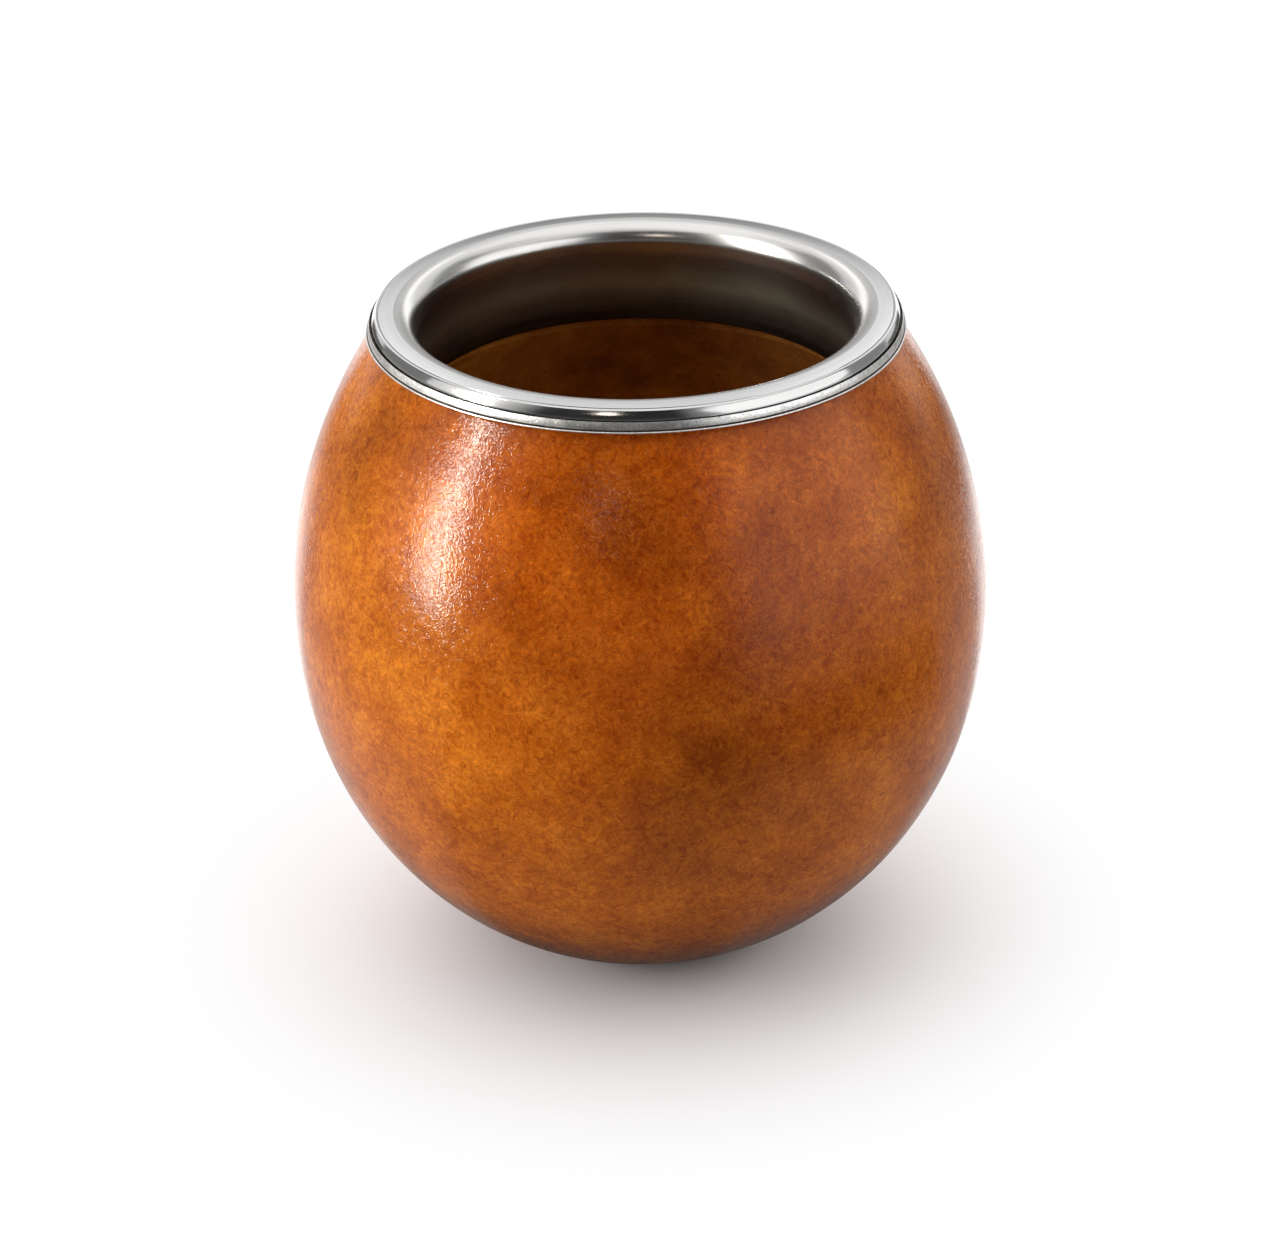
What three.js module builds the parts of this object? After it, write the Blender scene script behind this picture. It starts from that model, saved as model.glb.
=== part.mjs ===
// A mate cup: a hollow dried calabash gourd whose cut mouth carries a two-piece stainless steel rim.
// Millimetres, +Z up. The origin is the centre of the flat foot and the cup's axis lies on Z.

import * as THREE from 'three';

// Driving dimensions of the gourd
const BODY_RADIUS = 44; // at the widest part of the belly
const GOURD_HALF_LENGTH = 51.5; // half the whole fruit, from the blossom end to the stem end
const GOURD_SKEW = 0.065; // how strongly the egg shape swells below its middle
const FOOT_CUT = 2; // sanded off the blossom end so that the cup stands
const LIP_HEIGHT = 83.5; // where the stem end is cut off flat
const MOUTH_WALL = 2.6; // wall left between the bore and the outside at the lip
const BORE_RUN = 1.5; // how far the straight bore goes on below the sleeve
const BELLY_WALL = 7; // wall at the widest part
const FLOOR_THICKNESS = 8; // floor of the hollow above the foot
const SCAR_RADIUS = 4.5; // dished blossom scar in the middle of the foot
const SCAR_DEPTH = 0.8;

// Driving dimensions of the steel rim
const SHEET = 0.7; // thickness of the steel sheet
const SLEEVE_DEPTH = 13.1; // from the top of the flange to the sleeve's lower edge
const COLLAR_BEND = 2.6; // radius of the bend between flange and sleeve, on its bright side
const HEM_GAP = 0.5; // the hem is folded back to this distance from the bend
const FLANGE_SETBACK = 0.35; // the band stands out past the flange by this much
const BAND_LAP = 0.6; // how far the band's skirt laps down over the gourd
const BAND_CORNER = 0.35; // outer corner between the band's ledge and skirt
const BEAD_RADIUS = 0.25; // half-round bead along the skirt's lower edge

// Driving dimensions of the fits
const BAND_CLEARANCE = 0.3; // between the skirt and the gourd
const BED_THICKNESS = 1.1; // resin space between the sleeve and the bore
const RESIN_SHRINK = 0.1; // hairline that the cured resin draws back from what surrounds it
const BED_SETBACK = 1; // the resin stops this far above the sleeve's lower edge

// Fineness of the faceted surfaces
const TURN_SEGMENTS = 64;
const GOURD_STEPS = 20;
const CURVE_STEPS = 5;
const BEND_STEPS = 3;

// Sizes that follow from the driving dimensions
const gourdCentre = GOURD_HALF_LENGTH - FOOT_CUT;
const widestTurn = (-2 * GOURD_SKEW) / (1 + Math.sqrt(1 + 8 * GOURD_SKEW ** 2));
const widestHeight = gourdCentre + GOURD_HALF_LENGTH * widestTurn;
const mouthRadius = gourdRadius(LIP_HEIGHT);
const boreRadius = mouthRadius - MOUTH_WALL;
const sleeveOuter = boreRadius - BED_THICKNESS;
const sleeveInner = sleeveOuter - SHEET;
const skirtInner = gourdRadius(LIP_HEIGHT - BAND_LAP) + BAND_CLEARANCE;
const skirtOuter = skirtInner + SHEET;
const flangeRadius = skirtOuter - FLANGE_SETBACK;

// Heights on the rim, measured up from the gourd's lip
const ledgeTop = SHEET;
const flangeTop = ledgeTop + 2 * SHEET;
const sleeveBottom = flangeTop - SLEEVE_DEPTH;
const bendHeight = flangeTop - COLLAR_BEND;
const bendRadius = sleeveInner + COLLAR_BEND;
const hemInner = bendRadius + HEM_GAP;

/** Egg-shaped outline of the whole fruit: t runs from -1 at the blossom end to 1 at the stem end. */
function eggOutline(t) {
  return Math.sqrt(1 - t * t) * (1 - GOURD_SKEW * t);
}

/** Radius of the gourd's skin at a height above the foot. */
function gourdRadius(height) {
  const t = (height - gourdCentre) / GOURD_HALF_LENGTH;
  return (BODY_RADIUS * eggOutline(t)) / eggOutline(widestTurn);
}

/** Turns a closed outline, radius across and height up, into a solid of revolution about Z. */
function revolve(points) {
  const geometry = new THREE.LatheGeometry(points, TURN_SEGMENTS);
  geometry.rotateX(Math.PI / 2);
  return geometry;
}

/** Skin of the gourd from the foot up to the lip, with steps that crowd towards the ends. */
function skinOutline() {
  const footTurn = Math.asin(-gourdCentre / GOURD_HALF_LENGTH);
  const lipTurn = Math.asin((LIP_HEIGHT - gourdCentre) / GOURD_HALF_LENGTH);
  return Array.from({ length: GOURD_STEPS + 1 }, (_, step) => {
    const turn = THREE.MathUtils.lerp(footTurn, lipTurn, step / GOURD_STEPS);
    const height = gourdCentre + GOURD_HALF_LENGTH * Math.sin(turn);
    return new THREE.Vector2(gourdRadius(height), height);
  });
}

/** Hollow of the gourd: straight bore, flare into the belly, round floor. */
function hollowOutline() {
  const boreBottom = LIP_HEIGHT + sleeveBottom - BORE_RUN;
  const bellyRadius = BODY_RADIUS - BELLY_WALL;
  const hollow = new THREE.Path();
  hollow.moveTo(boreRadius, LIP_HEIGHT);
  hollow.lineTo(boreRadius, boreBottom);
  hollow.quadraticCurveTo(bellyRadius, (boreBottom + widestHeight) / 2, bellyRadius, widestHeight);
  hollow.absellipse(0, widestHeight, bellyRadius, widestHeight - FLOOR_THICKNESS, 0, -Math.PI / 2, true);
  const points = hollow.getPoints(CURVE_STEPS);
  points.at(-1).x = 0;
  return points;
}

/** Dished scar where the blossom sat, from the axis out to the flat of the foot. */
function scarOutline() {
  const scar = new THREE.Path();
  scar.moveTo(0, SCAR_DEPTH);
  scar.quadraticCurveTo(SCAR_RADIUS / 2, SCAR_DEPTH, SCAR_RADIUS, 0);
  return scar.getPoints(BEND_STEPS);
}

/** Outer band: ledge on the lip, round corner, skirt and the bead along its lower edge. */
function bandOutline() {
  const band = new THREE.Path();
  band.moveTo(boreRadius, 0);
  band.lineTo(skirtInner, 0);
  band.lineTo(skirtInner, -BAND_LAP);
  band.absarc(skirtOuter, BEAD_RADIUS - BAND_LAP, BEAD_RADIUS, -Math.PI / 2, Math.PI / 2, false);
  band.absarc(skirtOuter - BAND_CORNER, ledgeTop - BAND_CORNER, BAND_CORNER, 0, Math.PI / 2, false);
  band.lineTo(boreRadius, ledgeTop);
  band.closePath();
  return band.getPoints(BEND_STEPS);
}

/** Mouth collar: one sheet running from the sleeve through the bend to the flange and its hem. */
function collarOutline() {
  const collar = new THREE.Path();
  collar.moveTo(sleeveOuter, sleeveBottom);
  collar.absarc(bendRadius, bendHeight, COLLAR_BEND - SHEET, Math.PI, Math.PI / 2, true);
  collar.lineTo(hemInner, flangeTop - SHEET);
  collar.lineTo(hemInner, ledgeTop);
  collar.absarc(flangeRadius - SHEET, flangeTop - SHEET, SHEET, -Math.PI / 2, Math.PI / 2, false);
  collar.absarc(bendRadius, bendHeight, COLLAR_BEND, Math.PI / 2, Math.PI, false);
  collar.lineTo(sleeveInner, sleeveBottom);
  collar.closePath();
  return collar.getPoints(BEND_STEPS);
}

/** Setting resin: a ring down the sleeve that spreads over the ledge under the flange. */
function bedOutline() {
  const bedOuter = boreRadius - RESIN_SHRINK;
  const bedBottom = sleeveBottom + BED_SETBACK;
  const bendUnderside = COLLAR_BEND - SHEET - RESIN_SHRINK;
  const bed = new THREE.Path();
  bed.moveTo(bedOuter, bedBottom);
  bed.lineTo(bedOuter, ledgeTop);
  bed.lineTo(hemInner - RESIN_SHRINK, ledgeTop);
  bed.lineTo(hemInner - RESIN_SHRINK, flangeTop - SHEET - RESIN_SHRINK);
  bed.absarc(bendRadius, bendHeight, bendUnderside, Math.PI / 2, Math.PI, false);
  bed.lineTo(sleeveOuter + RESIN_SHRINK, bedBottom);
  bed.closePath();
  return bed.getPoints(BEND_STEPS);
}

const gourdSkin = new THREE.MeshStandardMaterial({ color: 0x9c5220, roughness: 0.32, metalness: 0 });
const spunSteel = new THREE.MeshStandardMaterial({ color: 0xc9c8c6, roughness: 0.28, metalness: 1 });
const polishedSteel = new THREE.MeshStandardMaterial({ color: 0xbdbbb8, roughness: 0.18, metalness: 1 });
const resin = new THREE.MeshStandardMaterial({ color: 0x3b2a1c, roughness: 0.55, metalness: 0 });

/** Makes one named piece. */
function piece(name, outline, material) {
  const mesh = new THREE.Mesh(revolve(outline), material);
  mesh.name = name;
  return mesh;
}

const rim = new THREE.Group();
rim.position.z = LIP_HEIGHT;
rim.add(
  piece('outer_band', bandOutline(), polishedSteel),
  piece('mouth_collar', collarOutline(), spunSteel),
  piece('collar_bed', bedOutline(), resin),
);

const gourdSection = [...scarOutline(), ...skinOutline(), ...hollowOutline().slice(1)];

const mateCup = new THREE.Group();
mateCup.add(piece('gourd_shell', gourdSection, gourdSkin), rim);

export default mateCup;
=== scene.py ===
"""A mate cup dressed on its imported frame: stained gourd, spun steel rim, setting resin and a soft studio.

Sizes are in millimetres, and MM turns them into the frame's metres where a mesh, lamp or camera is made.
Angles are in degrees. Azimuth 0 is the side of the cup that faces the camera, and it grows towards +X.
"""

import logging
import math
from collections.abc import Callable, Sequence
from dataclasses import dataclass, field
from enum import Enum, IntEnum

import bpy
import numpy as np
from mathutils import Matrix, Vector


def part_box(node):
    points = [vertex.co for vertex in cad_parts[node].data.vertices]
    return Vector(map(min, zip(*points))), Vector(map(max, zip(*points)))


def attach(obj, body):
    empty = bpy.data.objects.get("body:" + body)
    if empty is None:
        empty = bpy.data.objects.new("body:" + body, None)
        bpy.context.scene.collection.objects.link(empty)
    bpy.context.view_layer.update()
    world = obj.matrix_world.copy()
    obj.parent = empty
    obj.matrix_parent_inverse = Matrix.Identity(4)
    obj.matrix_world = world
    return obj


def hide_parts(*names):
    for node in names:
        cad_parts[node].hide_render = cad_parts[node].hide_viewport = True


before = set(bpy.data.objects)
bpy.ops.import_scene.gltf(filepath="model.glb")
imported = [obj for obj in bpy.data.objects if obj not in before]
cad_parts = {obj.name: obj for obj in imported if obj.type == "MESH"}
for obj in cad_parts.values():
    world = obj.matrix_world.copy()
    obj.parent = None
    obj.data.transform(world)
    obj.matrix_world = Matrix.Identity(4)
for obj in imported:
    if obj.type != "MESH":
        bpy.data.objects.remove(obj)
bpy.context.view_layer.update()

MM = 0.001
BODY = "root"
PHOTO_WIDTH = 1268
SAME_POINT = 1e-6
WHITE = (1.0, 1.0, 1.0)
NOISE_MIDDLE = 0.5
# A Mix node has sockets of the same name for numbers, vectors and colours, so the colours' are numbered
COLOUR_MIX_INPUTS = (0, 6, 7)
COLOUR_MIX_OUTPUT = 2
# Power of an area lamp for each square metre and unit of radiance
LAMP_POWER = 4.0

Point = tuple[float, float]
Spot = tuple[float, float, float]
Colour = tuple[float, float, float]
Stops = tuple[tuple[float, Colour], ...]
Socket = bpy.types.NodeSocket
Value = float | Colour | Socket
Relief = Callable[[np.ndarray, float], np.ndarray]

log = logging.getLogger("mate_cup")


# Directions, outlines and the scene


def direction(azimuth: float, elevation: float = 0.0) -> Vector:
    """The unit vector from the cup towards an azimuth and an elevation."""
    turn, rise = math.radians(azimuth), math.radians(elevation)
    return Vector((math.sin(turn) * math.cos(rise), -math.cos(turn) * math.cos(rise), math.sin(rise)))


def arc(centre: Point, across: float, up: float, start: float, end: float, steps: int) -> list[Point]:
    """Points along a round or elliptic stretch about a centre, with 0 degrees outwards and 90 up."""
    angles = (math.radians(start + (end - start) * step / steps) for step in range(steps + 1))
    return [(centre[0] + across * math.cos(a), centre[1] + up * math.sin(a)) for a in angles]


def bend(start: Point, corner: Point, end: Point, steps: int) -> list[Point]:
    """Points along a curve that leaves start and reaches end in line with a corner.

    Args:
        start: First point.
        corner: Point that both ends aim at.
        end: Last point.
        steps: Number of straight steps that it is made of.

    Returns:
        The points from start to end.
    """
    shares = (step / steps for step in range(steps + 1))
    return [
        tuple((1 - s) ** 2 * a + 2 * s * (1 - s) * b + s * s * c for a, b, c in zip(start, corner, end))
        for s in shares
    ]


def put(name: str, data: bpy.types.ID) -> bpy.types.Object:
    """A new object in the scene that shows a mesh, a lamp or a camera.

    Args:
        name: Name of the object.
        data: What it shows.

    Returns:
        The object.
    """
    made = bpy.data.objects.new(name, data)
    bpy.context.scene.collection.objects.link(made)
    return made


@dataclass(frozen=True)
class Stretch:
    """A run of a turned outline and the finish that its surface takes."""

    points: list[Point]
    finish: int = 0


@dataclass(frozen=True)
class Lathe:
    """Turns outlines about the cup's axis into meshes."""

    segments: int = 320
    crease: float = 24.0

    def turn(
        self,
        name: str,
        outline: Sequence[Stretch],
        finishes: Sequence["Finish"],
        relief: Relief | None = None,
    ) -> bpy.types.Object:
        """Makes one piece from an outline that runs counter-clockwise, radius across and height up.

        Args:
            name: Name of the piece.
            outline: Stretches end to end, closed on itself or starting and ending on the axis.
            finishes: Finishes that the stretches number.
            relief: Moves the points of a ring in or out by their angle and height.

        Returns:
            The piece, linked to the scene.
        """
        points, marks = self.join(outline)
        open_ended = points[0][0] == 0.0
        around = np.radians(np.arange(self.segments) * 360.0 / self.segments)
        rows = [self.ring(point, around, relief) for point in points]
        starts = np.cumsum([0] + [len(row) for row in rows])
        faces, numbers = [], []
        for lower in range(len(points) - 1 if open_ended else len(points)):
            upper = (lower + 1) % len(points)
            made = self.strip(starts[lower], len(rows[lower]), starts[upper], len(rows[upper]))
            faces += made
            numbers += [marks[lower]] * len(made)
        mesh = bpy.data.meshes.new(name)
        mesh.from_pydata(np.concatenate(rows) * MM, [], faces)
        mesh.polygons.foreach_set("material_index", numbers)
        mesh.polygons.foreach_set("use_smooth", [True] * len(faces))
        self.mark_creases(mesh, points, starts, open_ended)
        for finish in finishes:
            mesh.materials.append(finish.material())
        mesh.update()
        return put(name, mesh)

    @staticmethod
    def join(outline: Sequence[Stretch]) -> tuple[list[Point], list[int]]:
        """Runs the stretches together.

        Args:
            outline: Stretches end to end.

        Returns:
            The points without doubled ones, and the finish of the step that starts at each point.
        """
        points: list[Point] = []
        marks: list[int] = []
        for stretch in outline:
            for point in stretch.points:
                if points and math.dist(points[-1], point) < SAME_POINT:
                    marks[-1] = stretch.finish
                    continue
                points.append(point)
                marks.append(stretch.finish)
        if math.dist(points[0], points[-1]) < SAME_POINT:
            points.pop()
            marks.pop()
        return points, marks

    @staticmethod
    def ring(point: Point, around: np.ndarray, relief: Relief | None) -> np.ndarray:
        """Carries one outline point round the axis.

        Args:
            point: Radius and height.
            around: Angles of the segments.
            relief: Moves the points in or out.

        Returns:
            The ring's vertices, or a single one on the axis.
        """
        radius, height = point
        if radius == 0.0:
            return np.array([[0.0, 0.0, height]])
        radii = np.full_like(around, radius)
        if relief is not None:
            radii = radii + relief(around, height)
        return np.stack([radii * np.cos(around), radii * np.sin(around), np.full_like(around, height)], 1)

    @staticmethod
    def strip(low: int, low_count: int, high: int, high_count: int) -> list[tuple[int, ...]]:
        """Faces between two rings, either of which may be a point on the axis.

        Args:
            low: First vertex of the ring that comes first along the outline.
            low_count: Its number of vertices.
            high: First vertex of the next ring.
            high_count: Its number of vertices.

        Returns:
            The faces, pointing outwards.
        """
        count = max(low_count, high_count)
        pairs = [(j, (j + 1) % count) for j in range(count)]
        if low_count == 1:
            return [(low, high + k, high + j) for j, k in pairs]
        if high_count == 1:
            return [(low + j, low + k, high) for j, k in pairs]
        return [(low + j, low + k, high + k, high + j) for j, k in pairs]

    def mark_creases(
        self, mesh: bpy.types.Mesh, points: Sequence[Point], starts: np.ndarray, open_ended: bool
    ) -> None:
        """Keeps the outline's sharp corners sharp in the shading.

        Args:
            mesh: Mesh with all its faces.
            points: Outline points.
            starts: First vertex of each point's ring.
            open_ended: Whether the outline starts and ends on the axis.
        """
        count = len(points)
        sharp = np.zeros(starts[-1], bool)
        for index, point in enumerate(points):
            if open_ended and index in (0, count - 1):
                continue
            before, after = points[index - 1], points[(index + 1) % count]
            leave = math.atan2(after[1] - point[1], after[0] - point[0])
            reach = math.atan2(point[1] - before[1], point[0] - before[0])
            angle = abs((math.degrees(leave - reach) + 180) % 360 - 180)
            sharp[starts[index]:starts[index + 1]] = angle > self.crease
        ring_of = np.repeat(np.arange(count), np.diff(starts))
        ends = np.zeros(len(mesh.edges) * 2, int)
        mesh.edges.foreach_get("vertices", ends)
        first, second = ends[0::2], ends[1::2]
        flags = sharp[first] & sharp[second] & (ring_of[first] == ring_of[second])
        attribute = mesh.attributes.new("sharp_edge", "BOOLEAN", "EDGE")
        attribute.data.foreach_set("value", flags)


# Shader graphs and the effects that several finishes share


class Step(Enum):
    """Arithmetic that a graph can do with numbers or vectors."""

    ADD = "ADD"
    SUBTRACT = "SUBTRACT"
    MULTIPLY = "MULTIPLY"
    DIVIDE = "DIVIDE"
    MAXIMUM = "MAXIMUM"
    ABSOLUTE = "ABSOLUTE"
    LESS_THAN = "LESS_THAN"
    SCALE = "SCALE"
    NORMALIZE = "NORMALIZE"
    LENGTH = "LENGTH"
    DISTANCE = "DISTANCE"


class Blend(Enum):
    """Ways to lay one colour over another."""

    MIX = "MIX"
    MULTIPLY = "MULTIPLY"


class Axis(Enum):
    """The frame's directions: to the right, to the back and up."""

    X = "X"
    Y = "Y"
    Z = "Z"


@dataclass(frozen=True)
class Mark:
    """How strongly a pattern shows on a ground, and its colour."""

    share: float
    colour: Colour


class Graph:
    """A shader node tree that is wired from left to right."""

    def __init__(self, tree: bpy.types.NodeTree) -> None:
        """Keeps the tree that the nodes go into."""
        self.tree = tree

    @classmethod
    def blank(cls, owner: bpy.types.Material | bpy.types.World) -> "Graph":
        """Clears the nodes of a material or world.

        Args:
            owner: The material or world.

        Returns:
            The graph of its empty tree.
        """
        owner.use_nodes = True
        owner.node_tree.nodes.clear()
        return cls(owner.node_tree)

    def node(self, kind: str, inputs: dict[str | int, Value], **options: object) -> bpy.types.Node:
        """Adds a node.

        Args:
            kind: Blender's name for the type of node.
            inputs: What each input holds: a number, a colour or the output that feeds it.
            **options: The node's own settings.

        Returns:
            The node.
        """
        made = self.tree.nodes.new(kind)
        for option, choice in options.items():
            setattr(made, option, choice)
        for name, value in inputs.items():
            self.fill(made.inputs[name], value)
        return made

    def fill(self, socket: Socket, value: Value) -> None:
        """Sets an input to a number or colour, or links an output to it.

        Args:
            socket: The input.
            value: What it holds.
        """
        if isinstance(value, Socket):
            self.tree.links.new(value, socket)
        elif isinstance(value, tuple) and socket.type == "RGBA":
            socket.default_value = (*value, 1.0)
        else:
            socket.default_value = value

    def math(self, step: Step, first: Value, second: Value = 0.0) -> Socket:
        """The result of one step of arithmetic."""
        return self.node("ShaderNodeMath", {0: first, 1: second}, operation=step.value).outputs[0]

    def plus(self, first: Value, second: Value) -> Socket:
        """One value added to another."""
        return self.math(Step.ADD, first, second)

    def minus(self, first: Value, second: Value) -> Socket:
        """One value taken from another."""
        return self.math(Step.SUBTRACT, first, second)

    def times(self, first: Value, second: Value) -> Socket:
        """One value multiplied by another."""
        return self.math(Step.MULTIPLY, first, second)

    def vector(self, step: Step, first: Value, **second: Value) -> Socket:
        """The result of one step of vector arithmetic.

        Args:
            step: The step.
            first: Vector that it starts from.
            **second: The other vector as by, or the number that it is scaled by as scale.

        Returns:
            A vector, or a number where the step gives a length or a distance.
        """
        sockets = {"by": 1, "scale": "Scale"}
        inputs = {0: first, **{sockets[name]: value for name, value in second.items()}}
        made = self.node("ShaderNodeVectorMath", inputs, operation=step.value)
        return made.outputs["Value" if step in (Step.LENGTH, Step.DISTANCE) else "Vector"]

    def spread(
        self, value: Value, low: Value, high: Value, to_low: Value = 0.0, to_high: Value = 1.0
    ) -> Socket:
        """Eases a value from the range between low and high into another, and holds it there."""
        inputs = {"Value": value, "From Min": low, "From Max": high, "To Min": to_low, "To Max": to_high}
        return self.node("ShaderNodeMapRange", inputs, interpolation_type="SMOOTHSTEP").outputs["Result"]

    def mix(self, share: Value, first: Value, second: Value, blend: Blend = Blend.MIX) -> Socket:
        """A colour between two others, or one laid over the other.

        Args:
            share: How much of the second shows.
            first: The colour underneath.
            second: The colour on top.
            blend: How it is laid over.

        Returns:
            The colour.
        """
        inputs = dict(zip(COLOUR_MIX_INPUTS, (share, first, second)))
        made = self.node("ShaderNodeMix", inputs, data_type="RGBA", blend_type=blend.value)
        return made.outputs[COLOUR_MIX_OUTPUT]

    def tint(self, colour: Value, factor: Value) -> Socket:
        """A colour multiplied by a shade or another colour."""
        return self.mix(1.0, colour, factor, Blend.MULTIPLY)

    def mark(self, colour: Value, mask: Socket, mark: Mark) -> Socket:
        """A colour with a pattern drawn on it."""
        return self.mix(self.times(mask, mark.share), colour, mark.colour)

    def ramp(self, share: Socket, stops: Stops) -> Socket:
        """A colour picked along a row of stops.

        Args:
            share: Where along the row.
            stops: Places from 0 to 1 with their colours.

        Returns:
            The colour.
        """
        made = self.node("ShaderNodeValToRGB", {"Fac": share})
        ramp = made.color_ramp
        while len(ramp.elements) < len(stops):
            ramp.elements.new(1.0)
        for element, (place, colour) in zip(ramp.elements, stops):
            element.position = place
            element.color = (*colour, 1.0)
        return made.outputs["Color"]

    def place(self) -> Socket:
        """The point on the piece, in metres."""
        return self.node("ShaderNodeTexCoord", {}).outputs["Object"]

    def along(self, axis: Axis) -> Socket:
        """How far the point on the piece lies along an axis, in metres."""
        return self.node("ShaderNodeSeparateXYZ", {0: self.place()}).outputs[axis.value]

    def noise(self, vector: Socket, scale: Value, seed: Value, detail: Value, **extra: float) -> Socket:
        """Smooth noise from 0 to 1, with its lumps per unit of the vector and its number of finer layers."""
        inputs = {"Vector": vector, "W": seed, "Scale": scale, "Detail": detail, **extra}
        return self.node("ShaderNodeTexNoise", inputs, noise_dimensions="4D").outputs["Fac"]

    def bump(self, height: Socket, depth: float) -> Socket:
        """A normal that follows a height, where 1 stands so many millimetres tall."""
        return self.node("ShaderNodeBump", {"Height": height, "Distance": depth * MM}).outputs["Normal"]

    def effect(self, effect: "Effect", **values: float) -> Socket:
        """Places a shared effect with its own values.

        Args:
            effect: The effect.
            **values: Its inputs, by their names in small letters.

        Returns:
            The effect's output.
        """
        made = self.node("ShaderNodeGroup", {}, node_tree=effect.group())
        for name, value in values.items():
            made.inputs[name.title()].default_value = value
        return made.outputs[effect.output]


class Effect:
    """A pattern over a surface, kept as a shader node group and made once."""

    name = "effect"
    inputs: dict[str, float] = {}
    output = "Mask"

    def group(self) -> bpy.types.NodeTree:
        """The node group, made the first time that it is asked for.

        Returns:
            The group's tree.
        """
        found = bpy.data.node_groups.get(self.name)
        if found is not None:
            return found
        tree = bpy.data.node_groups.new(self.name, "ShaderNodeTree")
        for name, value in self.inputs.items():
            socket = tree.interface.new_socket(name, in_out="INPUT", socket_type="NodeSocketFloat")
            socket.default_value = value
        tree.interface.new_socket(self.output, in_out="OUTPUT", socket_type="NodeSocketFloat")
        graph = Graph(tree)
        result = self.wire(graph, graph.node("NodeGroupInput", {}).outputs)
        graph.node("NodeGroupOutput", {self.output: result})
        return tree

    def wire(self, graph: Graph, source: bpy.types.NodeOutputs) -> Socket:
        """Makes the nodes inside the group, and gives what feeds its output."""
        raise NotImplementedError

    @staticmethod
    def scale(graph: Graph, size: Socket) -> Socket:
        """Lumps per metre for a size in millimetres."""
        return graph.math(Step.DIVIDE, 1.0 / MM, size)


class Clouds(Effect):
    """Soft cloudy patches, such as stain that soaked in unevenly."""

    name = "cloudy patches"
    inputs = {"Size": 12.0, "Seed": 0.0}
    layers = 5.0
    reach = (0.28, 0.72)

    def wire(self, graph: Graph, source: bpy.types.NodeOutputs) -> Socket:
        """Eases layered noise so that it fills the range from 0 to 1.

        Args:
            graph: The group's graph.
            source: The group's inputs.

        Returns:
            The patches.
        """
        scale = self.scale(graph, source["Size"])
        lumps = graph.noise(graph.place(), scale, source["Seed"], self.layers, Roughness=0.58)
        return graph.spread(lumps, *self.reach)


class Felt(Effect):
    """Short matted fibres that lie every way, as in the skin of a gourd."""

    name = "matted fibres"
    inputs = {"Size": 1.2, "Detail": 3.0, "Seed": 0.0}
    output = "Grain"
    twist = {"Roughness": 0.85, "Distortion": 1.3}

    def wire(self, graph: Graph, source: bpy.types.NodeOutputs) -> Socket:
        """Twists layered noise so that its lumps draw out into short curved strands."""
        scale = self.scale(graph, source["Size"])
        return graph.noise(graph.place(), scale, source["Seed"], source["Detail"], **self.twist)


class Curls(Effect):
    """A few loose curly fibres, drawn where a noise crosses its middle and kept only here and there."""

    name = "curly fibres"
    inputs = {"Size": 1.6, "Width": 0.05, "Rarity": 0.5, "Seed": 0.0}
    layers = 1.0
    gap_seed = 5.0
    gap_ease = 0.1

    def wire(self, graph: Graph, source: bpy.types.NodeOutputs) -> Socket:
        """Draws the fibres as thin bands and keeps only pieces of them.

        Args:
            graph: The group's graph.
            source: The group's inputs.

        Returns:
            The fibres.
        """
        place, scale = graph.place(), self.scale(graph, source["Size"])
        lumps = graph.noise(place, scale, source["Seed"], self.layers, Distortion=1.6)
        offset = graph.math(Step.ABSOLUTE, graph.minus(lumps, NOISE_MIDDLE))
        strands = graph.spread(offset, 0.0, source["Width"], 1.0, 0.0)
        gaps = graph.noise(place, scale, graph.plus(source["Seed"], self.gap_seed), self.layers)
        kept = graph.spread(gaps, source["Rarity"], graph.plus(source["Rarity"], self.gap_ease))
        return graph.times(strands, kept)


class Specks(Effect):
    """Scattered dots of uneven size, such as pores or pits."""

    name = "scattered dots"
    inputs = {"Spacing": 2.0, "Reach": 0.2, "Share": 0.5}

    def wire(self, graph: Graph, source: bpy.types.NodeOutputs) -> Socket:
        """Puts a dot in a share of the cells of a cell pattern.

        Args:
            graph: The group's graph.
            source: The group's inputs.

        Returns:
            The dots.
        """
        inputs = {"Vector": graph.place(), "Scale": self.scale(graph, source["Spacing"])}
        cells = graph.node("ShaderNodeTexVoronoi", inputs).outputs
        dots = graph.spread(cells["Distance"], 0.0, source["Reach"], 1.0, 0.0)
        lot = graph.node("ShaderNodeSeparateColor", {"Color": cells["Color"]}).outputs["Red"]
        return graph.times(dots, graph.math(Step.LESS_THAN, lot, source["Share"]))


class TurnedLines(Effect):
    """Fine lines round the axis, as a spinning tool or a polishing wheel leaves them."""

    name = "turned lines"
    inputs = {"Pitch": 0.3, "Waver": 1.5, "Seed": 0.0}
    output = "Lines"
    layers = 2.0

    def wire(self, graph: Graph, source: bpy.types.NodeOutputs) -> Socket:
        """Reads noise by radius and height, which changes only slowly round the axis.

        Args:
            graph: The group's graph.
            source: The group's inputs.

        Returns:
            The lines.
        """
        flat = graph.vector(Step.MULTIPLY, graph.place(), by=(1.0, 1.0, 0.0))
        radius = graph.vector(Step.LENGTH, flat)
        drift = graph.vector(Step.SCALE, graph.vector(Step.NORMALIZE, flat), scale=source["Waver"])
        scale = self.scale(graph, source["Pitch"])
        steps = graph.times(graph.plus(radius, graph.along(Axis.Z)), scale)
        rise = graph.node("ShaderNodeCombineXYZ", {"Z": steps}).outputs[0]
        return graph.noise(graph.vector(Step.ADD, drift, by=rise), 1.0, source["Seed"], self.layers)


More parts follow.
